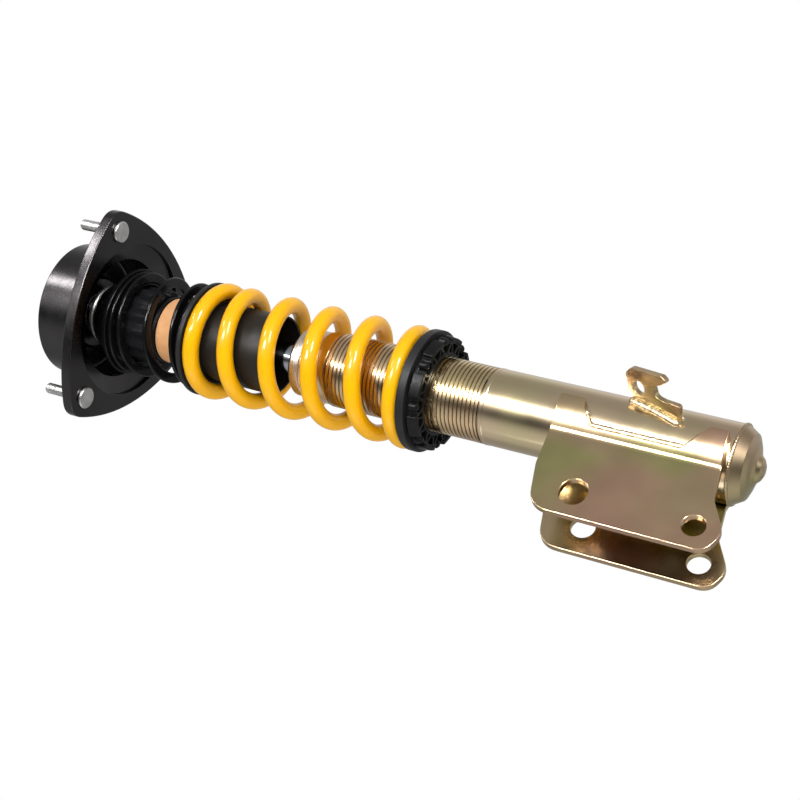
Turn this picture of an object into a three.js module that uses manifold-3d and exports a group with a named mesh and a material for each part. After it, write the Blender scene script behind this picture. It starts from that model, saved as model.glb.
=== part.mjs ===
// Coilover strut, upright: millimetres, +Z up along the strut's axis.
// The origin is on the axis, level with the top mount's seating face.
// The knuckle bracket opens towards -Y.
import * as THREE from 'three';
import { mergeVertices } from 'three/addons/utils/BufferGeometryUtils.js';
import Module from 'manifold-3d';

const wasm = await Module();
wasm.setup();

// ---- driving dimensions ----
const ROUND = 36; // facets on a large turned part
const SMALL = 14; // facets on a small turned part
const GAP = 0.3; // clearance between neighbours

// Top mount
const FLANGE = 8; // flange thickness
const STUD_PITCH_R = 71; // axis to stud
const STUD_AZIMUTHS = [22.6, 142.6, 262.6];
const CORNER_R = 15; // flange corner, about a stud
const SIDE_R = 144.7; // bowed side of the flange
const SIDE_CENTRE = 78.7; // centre of that bow, beyond the axis
const HUB_R = 49.4;
const HUB_TOP = 39.2;
const HUB_BORE_R = 44.4;
const HUB_CEILING = 27;
const RECESS_R = 57;
const RECESS_FLOOR = -3.5;

// Spherical bearing
const BALL_Z = 30;
const BALL_R = 14.5;
const RACE_R = 19;
const RACE_HALF = 6.5;
const ROD_STUD_R = 7;

// Rod, bump stop and dust tube
const ROD_R = 11;
const ROD_SHOULDER = 13.9;
const ROD_END = -262;
const CUP_R = 26.6;
const CUP_FLUTES = 14;
const BUMP_R = 23.8;
const DUST_R = 28.5;
const DUST_END = -140;

// Springs, both right-handed
const HELPER_IN = 30.7;
const HELPER_OUT = 38.5;
const HELPER_WIRE = 3;
const HELPER_TURNS = 1572; // degrees from end to end
const HELPER_START = 52; // azimuth of the upper end
// degrees from the upper end, height of the wire's centre
const HELPER_HEIGHTS = [
  [0, -16.6], [360, -19.9], [472, -25.4], [832, -49.3], [1192, -72.2], [1255, -75.6], [1302, -77.4], [1572, -77.4],
];
const SPRING_R = 36.6;
const SPRING_WIRE_R = 5.9;
const SPRING_START = 135;
const SPRING_TURNS = 2173;
const SPRING_HEIGHTS = [
  [0, -88.9], [215, -88.9], [275, -92.2], [1900, -246.6], [1958, -250.5], [2173, -250.5],
];

// Seats
const SEAT_R = 39.7;
const COUPLER_R = 41.5;
const COUPLER_TOP = -79.3;
const COUPLER_BOTTOM = -82.6;
const PERCH_R = 42.2;
const PERCH_TOP = -256.8;
const PERCH_BOTTOM = -263;
const NUT_R = 39.8;
const NUT_NECK_R = 37.5;
const NUT_SHOULDER = -265.2;
const NUT_BOTTOM = -272;
const NUT_POCKETS = 8;
const NUT_POCKET_AZIMUTH = -10.5;

// Strut tube
const TUBE_R = 26;
const TUBE_BORE_R = 23.5;
const TUBE_TOP = -181.3;
const THREAD_START = -190.5;
const THREAD_END = -308.5;
const COLLAR_END = -312.5;
const TUBE_BOTTOM = -478;
const GLAND_TOP = -162.5;

// Knuckle bracket
const PLATE = 4.5;
const FLANGE_OUT = 22; // outer face of a flange, from the strut's axis
const WRAP_TOP_AZIMUTH = 3;
const HOLE_R = 7.4; // lower bolt hole
const HOLE_Y = -66.1;
const HOLE_Z = -474.1;
const SLOT_R = 8.8; // upper bolt hole, oblong
const SLOT_HALF = 0.8;
const SLOT_Y = -64.2;
const SLOT_Z = -396.4;
const CAM_HOLE_R = 8; // round upper hole of the other plate
const CAM_HOLE_Y = -62.3;

// Brake hose tab: a plate standing on the tube, slanted to the axis
const TAB = 4;
const TAB_ORIGIN = [23.65, 7.68, -422.5];
const TAB_ALONG = [0.107, -0.331, -0.938];
const TAB_OUT_AZIMUTH = 18;
const TAB_HOLE_R = 4.7;

const rad = THREE.MathUtils.degToRad;

// ---- geometry to solid and back ----

function signedVolume(index, position) {
  const a = new THREE.Vector3();
  const b = new THREE.Vector3();
  const c = new THREE.Vector3();
  let sum = 0;
  for (let i = 0; i < index.length; i += 3) {
    a.fromBufferAttribute(position, index[i]);
    b.fromBufferAttribute(position, index[i + 1]);
    c.fromBufferAttribute(position, index[i + 2]);
    sum += a.dot(b.cross(c));
  }
  return sum / 6;
}

function solid(source) {
  const bare = source.clone();
  bare.deleteAttribute('normal');
  bare.deleteAttribute('uv');
  const merged = mergeVertices(bare, 1e-4);
  const all = Array.from(merged.index.array);
  const index = [];
  for (let i = 0; i < all.length; i += 3) {
    const [a, b, c] = all.slice(i, i + 3);
    if (a !== b && b !== c && c !== a) {
      index.push(a, b, c);
    }
  }
  if (signedVolume(index, merged.attributes.position) < 0) {
    index.reverse();
  }
  return new wasm.Manifold(new wasm.Mesh({
    numProp: 3,
    vertProperties: new Float32Array(merged.attributes.position.array),
    triVerts: new Uint32Array(index),
  }));
}

function geometryOf(body) {
  const mesh = body.getMesh();
  const geometry = new THREE.BufferGeometry();
  geometry.setAttribute('position', new THREE.BufferAttribute(new Float32Array(mesh.vertProperties), 3));
  geometry.setIndex(Array.from(mesh.triVerts));
  geometry.computeVertexNormals();
  return geometry;
}

// ---- shape helpers ----

// A turned solid from a closed [radius, height] profile.
function turned(profile, facets = ROUND) {
  const points = profile.map(([r, z]) => new THREE.Vector2(r, z));
  points.push(points[0].clone());
  const geometry = new THREE.LatheGeometry(points, facets);
  geometry.rotateX(Math.PI / 2);
  return solid(geometry);
}

function cylinder(radius, low, high, x = 0, y = 0, facets = SMALL) {
  const geometry = new THREE.CylinderGeometry(radius, radius, high - low, facets);
  geometry.rotateX(Math.PI / 2);
  geometry.translate(x, y, (low + high) / 2);
  return solid(geometry);
}

function box(sx, sy, sz, x, y, z, turn = 0) {
  const geometry = new THREE.BoxGeometry(sx, sy, sz);
  geometry.translate(x, y, z);
  geometry.rotateZ(turn);
  return solid(geometry);
}

// A prism on an outline given as [x, y] points.
function prism(points, low, high) {
  const shape = new THREE.Shape(points.map(([x, y]) => new THREE.Vector2(x, y)));
  const geometry = new THREE.ExtrudeGeometry(shape, { depth: high - low, bevelEnabled: false });
  geometry.translate(0, 0, low);
  return geometry;
}

// A prism along X on an outline given as [y, z] points.
function sidePrism(points, low, high) {
  const geometry = prism(points, low, high);
  geometry.applyMatrix4(new THREE.Matrix4().set(0, 0, 1, 0, 1, 0, 0, 0, 0, 1, 0, 0, 0, 0, 0, 1));
  return solid(geometry);
}

function arc(cx, cy, radius, from, to, steps) {
  const points = [];
  for (let i = 0; i <= steps; i += 1) {
    const a = rad(from + ((to - from) * i) / steps);
    points.push([cx + radius * Math.cos(a), cy + radius * Math.sin(a)]);
  }
  return points;
}

// A sphere's profile arc, as [radius, height] points.
function bowl(radius, half, steps) {
  const limit = THREE.MathUtils.radToDeg(Math.asin(half / radius));
  return arc(0, BALL_Z, radius, -limit, limit, steps);
}

// Outline with each corner rounded to the radius given with it: [x, y, radius].
function rounded(corners, steps = 5) {
  const points = [];
  corners.forEach(([x, y, r], i) => {
    const here = new THREE.Vector2(x, y);
    const [px, py] = corners[(i + corners.length - 1) % corners.length];
    const [nx, ny] = corners[(i + 1) % corners.length];
    if (!r) {
      points.push([x, y]);
      return;
    }
    const before = new THREE.Vector2(px, py).sub(here).setLength(r).add(here);
    const after = new THREE.Vector2(nx, ny).sub(here).setLength(r).add(here);
    const bend = new THREE.QuadraticBezierCurve(before, here, after);
    bend.getPoints(steps).forEach((p) => points.push([p.x, p.y]));
  });
  return points;
}

// A coil's centre line; its section stays square to the strut's axis.
class Coil extends THREE.Curve {
  constructor(radius, start, turns, heights) {
    super();
    Object.assign(this, { radius, start, turns, heights });
  }

  heightAt(angle) {
    const last = this.heights.length - 1;
    let k = 0;
    while (k < last - 1 && angle > this.heights[k + 1][0]) {
      k += 1;
    }
    const [a0, z0] = this.heights[k];
    const [a1, z1] = this.heights[k + 1];
    return z0 + ((z1 - z0) * (angle - a0)) / (a1 - a0);
  }

  getPoint(t, target = new THREE.Vector3()) {
    const angle = t * this.turns;
    const azimuth = rad(this.start - angle);
    const z = this.heightAt(angle);
    return target.set(this.radius * Math.cos(azimuth), this.radius * Math.sin(azimuth), z);
  }

  computeFrenetFrames(steps) {
    const tangents = [];
    const normals = [];
    const binormals = [];
    for (let i = 0; i <= steps; i += 1) {
      const point = this.getPointAt(i / steps);
      const tangent = this.getTangentAt(i / steps);
      const normal = new THREE.Vector3(point.x, point.y, 0).normalize();
      tangents.push(tangent);
      normals.push(normal);
      binormals.push(new THREE.Vector3().crossVectors(tangent, normal));
    }
    return { tangents, normals, binormals };
  }
}

function coil(section, radius, start, turns, heights, stepsPerTurn) {
  const path = new Coil(radius, start, turns, heights);
  path.arcLengthDivisions = 2000;
  const shape = new THREE.Shape(section.map(([x, y]) => new THREE.Vector2(x, y)));
  const steps = Math.round((turns / 360) * stepsPerTurn);
  return solid(new THREE.ExtrudeGeometry(shape, { steps, extrudePath: path, bevelEnabled: false }));
}

// ---- the assembly ----

const group = new THREE.Group();
group.name = 'coilover';

function add(name, body, color, roughness, metalness) {
  const material = new THREE.MeshStandardMaterial({ color, roughness, metalness });
  const mesh = new THREE.Mesh(geometryOf(body), material);
  mesh.name = name;
  group.add(mesh);
}

const DARK = [0x3a3838, 0.45, 0.8];
const STEEL = [0xb0aea8, 0.4, 0.9];
const BLACK = [0x0c0c0d, 0.25, 0.1];
const COMPOSITE = [0x2b2b2d, 0.55, 0.1];
const CHROME = [0xd8dade, 0.06, 1];
const NICKEL = [0xc8bdb0, 0.3, 0.9];
const ZINC = [0xb49a70, 0.32, 0.85];
const YELLOW = [0xf2b400, 0.2, 0.0];
const FOAM = [0xe0a068, 0.8, 0.0];
const MATTE = [0x3c3834, 0.75, 0.1];
const RUBBER = [0x121212, 0.6, 0.0];

// Top mount: flange outline from three corner arcs and three bowed sides.
function flangeOutline() {
  const points = [];
  STUD_AZIMUTHS.forEach((azimuth) => {
    const corner = new THREE.Vector2(STUD_PITCH_R, 0).rotateAround(new THREE.Vector2(), rad(azimuth));
    const before = new THREE.Vector2(-SIDE_CENTRE, 0).rotateAround(new THREE.Vector2(), rad(azimuth - 60));
    const after = new THREE.Vector2(-SIDE_CENTRE, 0).rotateAround(new THREE.Vector2(), rad(azimuth + 60));
    const from = THREE.MathUtils.radToDeg(corner.clone().sub(before).angle());
    let to = THREE.MathUtils.radToDeg(corner.clone().sub(after).angle());
    if (to < from) {
      to += 360;
    }
    points.push(...arc(corner.x, corner.y, CORNER_R, from, to, 9));
    const next = new THREE.Vector2(STUD_PITCH_R, 0).rotateAround(new THREE.Vector2(), rad(azimuth + 120));
    let end = THREE.MathUtils.radToDeg(next.clone().sub(after).angle());
    if (end < to - 360) {
      end += 360;
    }
    while (end < to) {
      end += 360;
    }
    while (end - to > 180) {
      end -= 360;
    }
    points.push(...arc(after.x, after.y, SIDE_R, to, end, 9).slice(1, -1));
  });
  return points;
}

function topMount() {
  let body = solid(prism(flangeOutline(), -FLANGE, 0));
  body = body.add(turned([[20.7, -1], [HUB_R, -1], [HUB_R, HUB_TOP - 1], [HUB_R - 1, HUB_TOP], [20.7, HUB_TOP]]));
  body = body.subtract(turned([
    [0, -12], [RECESS_R, -12], [RECESS_R, RECESS_FLOOR], [HUB_BORE_R, -0.2],
    [HUB_BORE_R, HUB_CEILING], [0, HUB_CEILING],
  ]));
  // boss that holds the bearing race, with its lip and retaining ring groove
  body = body.add(turned([
    [16.4, 21.5], [26, 21.5], [26, HUB_CEILING + 1], [20.7 + 1, HUB_TOP], [RACE_R + GAP, HUB_TOP],
    [RACE_R + GAP, 38.7], [20.5, 38.7], [20.5, 37], [RACE_R + GAP, 37], [RACE_R + GAP, 23.2], [16.4, 23.2],
  ]));
  STUD_AZIMUTHS.forEach((azimuth) => {
    const x = STUD_PITCH_R * Math.cos(rad(azimuth));
    const y = STUD_PITCH_R * Math.sin(rad(azimuth));
    body = body.subtract(cylinder(4.9, -20, 20, x, y));
  });
  return body;
}
add('top_mount', topMount(), ...DARK);

// Pressed-in studs: flat head below the flange, splined neck in it, thread above it.
STUD_AZIMUTHS.forEach((azimuth, i) => {
  const stud = turned([
    [0, -10.4], [7.3, -10.4], [8, -9.8], [8, -8.3], [4.6, -8.3], [4.6, -0.4], [4, 0.2], [4, 25.4], [3.2, 26.2], [0, 26.2],
  ], SMALL);
  const x = STUD_PITCH_R * Math.cos(rad(azimuth));
  const y = STUD_PITCH_R * Math.sin(rad(azimuth));
  add(`stud_${i + 1}`, stud.translate(x, y, 0), ...STEEL);
});

// Spherical bearing
add('bearing_race', turned([
  [RACE_R, BALL_Z - RACE_HALF], [RACE_R, BALL_Z + RACE_HALF],
  ...bowl(BALL_R + 0.25, RACE_HALF, 5).reverse(),
], 30), ...STEEL);
add('bearing_circlip', turned([[17.2, 37.3], [20.2, 37.3], [20.2, 38.4], [17.2, 38.4]], 24), ...STEEL);
add('bearing_ball', turned([
  [ROD_STUD_R + GAP, BALL_Z - 9], [10.5, BALL_Z - 9],
  ...bowl(BALL_R, 9, 6),
  [10.5, BALL_Z + 9], [ROD_STUD_R + GAP, BALL_Z + 9],
], 30), ...CHROME);

// Rod with its threaded top, and what it carries
add('piston_rod', turned([
  [0, ROD_END], [ROD_STUD_R - 0.5, ROD_END], [ROD_STUD_R, ROD_END + 1], [ROD_STUD_R, -228.4], [ROD_R, -228.4],
  [ROD_R, ROD_SHOULDER - 0.8], [ROD_R - 0.8, ROD_SHOULDER], [ROD_STUD_R, ROD_SHOULDER], [ROD_STUD_R, 55],
  [ROD_STUD_R - 1, 56], [0, 56],
], 32), ...CHROME);
add('rod_spacer', turned([
  [ROD_STUD_R + GAP, 14.2], [19, 14.2], [19, 16.6], [10, 18], [10, 20.7], [ROD_STUD_R + GAP, 20.7],
], 24), ...STEEL);
const nutBlank = solid(new THREE.CylinderGeometry(12.7, 12.7, 12, 6).rotateX(Math.PI / 2).translate(0, 0, 45.4));
add('rod_nut', nutBlank.subtract(cylinder(ROD_STUD_R + GAP, 30, 60)), ...STEEL);
add('piston', turned([
  [ROD_STUD_R + GAP, -244], [23.1, -244], [23.1, -228.7], [ROD_STUD_R + GAP, -228.7],
], 28), ...STEEL);
const rodEndNut = solid(new THREE.CylinderGeometry(11.5, 11.5, 10, 6).rotateX(Math.PI / 2).translate(0, 0, -249.3));
add('piston_nut', rodEndNut.subtract(cylinder(ROD_STUD_R + GAP, -270, -230)), ...STEEL);

// Fluted cup: a scalloped wall with a web round the rod.
function flutedCup() {
  const outline = [];
  const steps = CUP_FLUTES * 4;
  for (let i = 0; i < steps; i += 1) {
    const a = (2 * Math.PI * i) / steps;
    const r = CUP_R + 1.1 * Math.cos(CUP_FLUTES * a);
    outline.push([r * Math.cos(a), r * Math.sin(a)]);
  }
  let body = solid(prism(outline, -43, -12));
  body = body.subtract(turned([[0, -50], [22.5, -50], [22.5, -18], [19, -15], [0, -15]], 28));
  return body.subtract(cylinder(ROD_R + GAP, -60, 0, 0, 0, 28));
}
add('bump_cup', flutedCup(), ...COMPOSITE);
add('bump_washer', turned([
  [ROD_R + GAP, -43.3], [16, -43.3], [24.4, -44.6], [24.4, -47.6], [ROD_R + GAP, -47.6],
], 32), ...COMPOSITE);
add('bump_stop', turned([
  [ROD_R + GAP, -48], [BUMP_R, -48], [BUMP_R, -64], [20, -67], [20, -74], [22.5, -77], [18, -84], [ROD_R + GAP, -84],
], 32), ...FOAM);
add('dust_tube', turned([
  [20.4, -70], [DUST_R - 1, -70], [DUST_R, -71.5], [DUST_R, DUST_END], [DUST_R - 1.4, DUST_END], [DUST_R - 1.4, -72],
  [20.4, -72],
]), ...MATTE);

// Upper seat on its thrust bearing
add('thrust_bearing', turned([
  [12, 8.3], [22, 8.3], [22, 10.4], [21, 10.4], [21, 11.8], [22, 11.8], [22, 13.8], [12, 13.8],
], 24), ...STEEL);
add('upper_seat', turned([
  [ROD_R + 0.6, 3], [19, 3], [28.8, -8], [28.8, -22], [30.2, -22], [30.2, -14.9], [SEAT_R, -14.9], [SEAT_R, -12.2],
  [37, -10.5], [24, 8], [ROD_R + 0.6, 8],
]), ...BLACK);

// Springs
const helperMiddle = (HELPER_IN + HELPER_OUT) / 2;
const halfWide = (HELPER_OUT - HELPER_IN) / 2;
const halfThick = HELPER_WIRE / 2;
add('helper_spring', coil(
  [[-halfWide, -halfThick], [halfWide, -halfThick], [halfWide, halfThick], [-halfWide, halfThick]],
  helperMiddle, HELPER_START, HELPER_TURNS, HELPER_HEIGHTS, 22,
), ...BLACK);
add('main_spring', coil(
  arc(0, 0, SPRING_WIRE_R, 0, 360 - 360 / 7, 6), SPRING_R, SPRING_START, SPRING_TURNS, SPRING_HEIGHTS, 18,
), ...YELLOW);

add('coupler_ring', turned([
  [29.3, -92], [30.3, -92], [30.3, COUPLER_BOTTOM], [COUPLER_R, COUPLER_BOTTOM], [COUPLER_R, COUPLER_TOP],
  [30.3, COUPLER_TOP], [30.3, -68], [29.3, -68],
]), ...COMPOSITE);

// Strut tube: the thread is carried as a plain band at its crest.
add('strut_tube', turned([
  [TUBE_BORE_R, TUBE_BOTTOM], [TUBE_R, TUBE_BOTTOM], [TUBE_R, COLLAR_END], [TUBE_R + 0.2, COLLAR_END + 0.4],
  [TUBE_R + 0.2, THREAD_END - 1.6], [TUBE_R - 0.9, THREAD_END - 1], [TUBE_R - 0.9, THREAD_END],
  [TUBE_R, THREAD_END + 0.9], [TUBE_R, THREAD_START - 0.8], [TUBE_R - 0.8, THREAD_START], [TUBE_R - 0.8, TUBE_TOP - 0.6],
  [TUBE_R - 1.4, TUBE_TOP], [TUBE_BORE_R, TUBE_TOP],
]), ...ZINC);
add('gland_nut', turned([
  [ROD_R + GAP, -196], [TUBE_BORE_R - GAP, -196], [TUBE_BORE_R - GAP, TUBE_TOP + GAP], [24.2, TUBE_TOP + GAP],
  [24.2, -172.2], [23.2, -171.4], [23.2, -170.2], [24.2, -169.4], [24.2, GLAND_TOP - 0.8], [23.4, GLAND_TOP],
  [18.3, GLAND_TOP], [18.3, -169], [ROD_R + GAP, -169],
], 32), ...NICKEL);
add('wiper_seal', turned([
  [ROD_R + 0.1, -168.7], [18, -168.7], [18, GLAND_TOP + GAP], [21.4, GLAND_TOP + GAP], [21.4, -160.4],
  [13.5, -159.4], [ROD_R + 0.1, -160.4],
], 32), ...RUBBER);
add('rod_guide', turned([
  [ROD_R + 0.1, -214], [TUBE_BORE_R - GAP, -214], [TUBE_BORE_R - GAP, -196.3], [ROD_R + 0.1, -196.3],
], 32), ...STEEL);
add('bottom_cap', turned([
  [0, -494.8], [4, -494.5], [7, -493], [9.2, -490.6], [12.5, -489.2], [17, -487.8], [21.5, -485.8], [25.6, -479.2],
  [TUBE_R, TUBE_BOTTOM - GAP],
  [TUBE_BORE_R - GAP, TUBE_BOTTOM - GAP], [TUBE_BORE_R - GAP, -470], [20, -470], [20, -480], [0, -484],
], 36), ...ZINC);

// Perch: smooth seat ring on the castellated nut
add('spring_seat', turned([
  [TUBE_R + 0.6, PERCH_BOTTOM], [PERCH_R, PERCH_BOTTOM], [PERCH_R, PERCH_TOP + 0.6], [PERCH_R - 0.6, PERCH_TOP],
  [30.2, PERCH_TOP], [30.2, -251.4], [TUBE_R + 0.6, -251.4],
]), ...DARK);

function perchNut() {
  let body = turned([
    [TUBE_R + 0.4, NUT_BOTTOM], [31.6, NUT_BOTTOM], [31.6, -267.5], [35.5, -267.5], [35.5, NUT_BOTTOM],
    [NUT_R - 1.2, NUT_BOTTOM], [NUT_R, NUT_SHOULDER - 1], [NUT_R, NUT_SHOULDER], [NUT_NECK_R, NUT_SHOULDER],
    [NUT_NECK_R, PERCH_BOTTOM - GAP], [TUBE_R + 0.4, PERCH_BOTTOM - GAP],
  ]);
  for (let i = 0; i < NUT_POCKETS; i += 1) {
    const turn = rad(NUT_POCKET_AZIMUTH + (360 * i) / NUT_POCKETS);
    body = body.subtract(box(8, 12, 12, 38.8, 0, NUT_SHOULDER - 6.6, turn));
  }
  return body;
}
add('perch_nut', perchNut(), ...BLACK);

// Knuckle bracket: each plate hugs one side of the tube and runs out as a flat flange.
function bracketPlate(side) {
  const outer = TUBE_R + GAP + PLATE;
  const inner = TUBE_R + GAP;
  const flangeIn = FLANGE_OUT - PLATE;
  const outerBend = -THREE.MathUtils.radToDeg(Math.acos(FLANGE_OUT / outer));
  const innerBend = -THREE.MathUtils.radToDeg(Math.acos(flangeIn / inner));
  const section = [
    ...arc(0, 0, outer, WRAP_TOP_AZIMUTH, outerBend, 9),
    [FLANGE_OUT, -90],
    [flangeIn, -90],
    ...arc(0, 0, inner, innerBend, WRAP_TOP_AZIMUTH, 9),
  ];
  let body = solid(prism(section, -500, -350));
  const outline = rounded([
    [10, -362.5, 0], [-22, -362.8, 0], [-50, -365, 8], [-82, -373.5, 12.5], [-82, -486.2, 10], [-66, -492.3, 6.5],
    [-44, -478.8, 6], [-20, -475.6, 6], [10, -473.8, 0],
  ]);
  body = body.intersect(sidePrism(outline, 5, 40));
  const window = rounded([
    [12, -379.5, 0], [-3, -380, 2], [-15.5, -387, 4], [-15.5, -450, 4], [-8, -454.6, 2], [12, -462, 0],
  ]);
  body = body.subtract(sidePrism(window, 5, 40));
  const slot = [
    ...arc(SLOT_Y + SLOT_HALF, SLOT_Z, SLOT_R, -90, 90, 12),
    ...arc(SLOT_Y - SLOT_HALF, SLOT_Z, SLOT_R, 90, 270, 12),
  ];
  const camHole = arc(CAM_HOLE_Y, SLOT_Z, CAM_HOLE_R, 0, 345, 23);
  body = body.subtract(sidePrism(side > 0 ? slot : camHole, 5, 40));
  body = body.subtract(sidePrism(arc(HOLE_Y, HOLE_Z, HOLE_R, 0, 345, 23), 5, 40));
  return side > 0 ? body : body.mirror([1, 0, 0]);
}
add('bracket_left', bracketPlate(1), ...ZINC);
add('bracket_right', bracketPlate(-1), ...ZINC);

// Brake hose tab, outlined in [along the strut, out from it]
function hoseTab() {
  const along = new THREE.Vector3(...TAB_ALONG).normalize();
  const out = new THREE.Vector3(Math.cos(rad(TAB_OUT_AZIMUTH)), Math.sin(rad(TAB_OUT_AZIMUTH)), 0);
  const face = new THREE.Vector3().crossVectors(along, out).normalize();
  out.crossVectors(face, along);
  const outline = rounded([
    [-19.5, -2, 0], [-19.8, 2, 1.4], [-25.6, 18, 3.6], [-21.2, 23.6, 3.2], [4.2, 27.8, 2.4], [8.4, 25.2, 2.2], [3.4, 20.6, 2],
    [-2.6, 18.4, 2.6], [0, 10.8, 3.6], [6.5, 10.6, 2.4], [19.2, 12.4, 2.2], [18.6, 5, 0], [19.8, -2, 0],
  ], 4);
  const frame = new THREE.Matrix4().makeBasis(along, out, face);
  frame.setPosition(...TAB_ORIGIN);
  const plate = prism(outline, -TAB, 0);
  plate.applyMatrix4(frame);
  const hole = new THREE.CylinderGeometry(TAB_HOLE_R, TAB_HOLE_R, 20, SMALL);
  hole.rotateX(Math.PI / 2);
  hole.translate(-14.1, 11.7, 0);
  hole.applyMatrix4(frame);
  return solid(plate).subtract(solid(hole)).subtract(cylinder(TUBE_R + GAP, -470, -370, 0, 0, ROUND));
}
add('hose_tab', hoseTab(), ...ZINC);

export default group;
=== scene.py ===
"""Coilover strut: the visual model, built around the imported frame.

Sizes are in millimetres in the frame's axes (+Z up along the strut, origin on its axis at the
top mount's seating face); MM turns them into the scene's metres.
"""
import math

import bmesh
import bpy
import numpy as np
from mathutils import Matrix, Vector, noise


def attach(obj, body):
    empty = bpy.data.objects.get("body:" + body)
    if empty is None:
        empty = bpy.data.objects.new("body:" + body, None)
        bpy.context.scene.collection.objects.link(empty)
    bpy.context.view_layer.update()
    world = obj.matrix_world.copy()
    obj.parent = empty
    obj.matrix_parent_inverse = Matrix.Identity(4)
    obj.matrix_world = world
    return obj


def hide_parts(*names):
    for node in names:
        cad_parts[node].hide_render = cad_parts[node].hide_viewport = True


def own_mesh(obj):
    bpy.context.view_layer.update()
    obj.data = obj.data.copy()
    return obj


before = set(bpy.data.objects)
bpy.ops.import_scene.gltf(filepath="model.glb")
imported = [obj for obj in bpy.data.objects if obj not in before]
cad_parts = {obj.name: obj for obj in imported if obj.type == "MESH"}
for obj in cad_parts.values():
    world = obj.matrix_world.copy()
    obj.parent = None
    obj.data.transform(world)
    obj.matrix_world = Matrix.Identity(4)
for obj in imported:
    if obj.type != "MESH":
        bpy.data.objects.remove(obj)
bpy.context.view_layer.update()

MM = 0.001

# ---- camera: where it stands, in metres, and how it is turned, in degrees ----
CAMERA_AT = (0.80455, -0.57340, -0.72130)
CAMERA_AZIMUTH = math.radians(-34.861)
CAMERA_ELEVATION = math.radians(-25.938)
CAMERA_ROLL = math.radians(-76.345)
LENS = 72.333  # on a sensor SENSOR wide
SENSOR = 36


def camera_axes():
    """The picture's right, its up, and the way back towards the camera."""
    outward = Vector((math.cos(CAMERA_AZIMUTH), math.sin(CAMERA_AZIMUTH), 0))
    back = outward * math.cos(CAMERA_ELEVATION) + Vector((0, 0, math.sin(CAMERA_ELEVATION)))
    level_right = Vector((-outward.y, outward.x, 0))
    level_up = back.cross(level_right)
    c, s = math.cos(CAMERA_ROLL), math.sin(CAMERA_ROLL)
    return level_right * c + level_up * s, level_up * c - level_right * s, back


RIGHT, UP, BACK = camera_axes()

# ---- shape helpers ----
BEAD_SIDES = 12


def filleted(corners, radius, steps=3):
    """A closed outline with its corners rounded; a corner may carry its own radius."""
    points = []
    count = len(corners)
    for i, corner in enumerate(corners):
        r = corner[2] if len(corner) > 2 else radius
        here = Vector(corner[:2])
        a = Vector(corners[i - 1][:2]) - here
        b = Vector(corners[(i + 1) % count][:2]) - here
        turn = a.angle(b) if a.length and b.length else math.pi
        if r <= 0 or math.pi - turn < 0.05:
            points.append((here.x, here.y))
            continue
        cut = min(r / math.tan(turn / 2), 0.48 * a.length, 0.48 * b.length)
        start = here + a.normalized() * cut
        end = here + b.normalized() * cut
        for k in range(steps + 1):
            t = k / steps
            p = start * (1 - t) ** 2 + here * (2 * t * (1 - t)) + end * t * t
            points.append((p.x, p.y))
    return points


def grid_faces(rows, columns, wrap_rows=True, wrap_columns=True):
    """Quads of a grid of rows by columns vertices."""
    faces = []
    for i in range(rows if wrap_rows else rows - 1):
        for k in range(columns if wrap_columns else columns - 1):
            n, m = (i + 1) % rows, (k + 1) % columns
            faces.append((i * columns + k, i * columns + m, n * columns + m, n * columns + k))
    return faces

def turned(profile, radius=0.4, facets=120, steps=3):
    """A turned solid from a closed [radius, height] profile."""
    ring = filleted(profile, radius, steps)
    return swept_round([ring] * facets, [2 * math.pi * j / facets for j in range(facets)])


def stood_up(rings, azimuths):
    """Each ring of [radius, height] points, stood up at its azimuth."""
    placed = []
    for ring, a in zip(rings, azimuths):
        c, s = math.cos(a), math.sin(a)
        placed.append([(r * c, r * s, z) for r, z in ring])
    return placed


def swept_round(rings, azimuths):
    """A closed form whose section at each azimuth is its own ring of [radius, height] points."""
    verts = [point for ring in stood_up(rings, azimuths) for point in ring]
    return verts, grid_faces(len(rings), len(rings[0]))


def capped_run(rings):
    """A skin over rings of points in a row, with a face over either end."""
    verts = [point for ring in rings for point in ring]
    columns = len(rings[0])
    faces = grid_faces(len(rings), columns, wrap_rows=False)
    faces.append(tuple(range(columns)))
    faces.append(tuple(range(len(verts) - columns, len(verts))))
    return verts, faces


def merged(*parts):
    """Several vertex and face lists as one."""
    verts, faces = [], []
    for v, f in parts:
        base = len(verts)
        verts.extend(v)
        faces.extend(tuple(base + i for i in face) for face in f)
    return verts, faces


def moved(part, x=0.0, y=0.0, z=0.0, turn=0.0):
    """The part turned about Z, then moved."""
    c, s = math.cos(turn), math.sin(turn)
    verts = [(c * px - s * py + x, s * px + c * py + y, pz + z) for px, py, pz in part[0]]
    return verts, part[1]

def piece(name, part, body, look, replaces=(), merge=0.004, crease=38, weighted=True):
    """A finished mesh piece from vertices in millimetres."""
    mesh = bpy.data.meshes.new(name)
    mesh.from_pydata([tuple(c * MM for c in v) for v in part[0]], [], part[1])
    return finish_piece(name, mesh, body, look, replaces, merge, crease, weighted)


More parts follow.
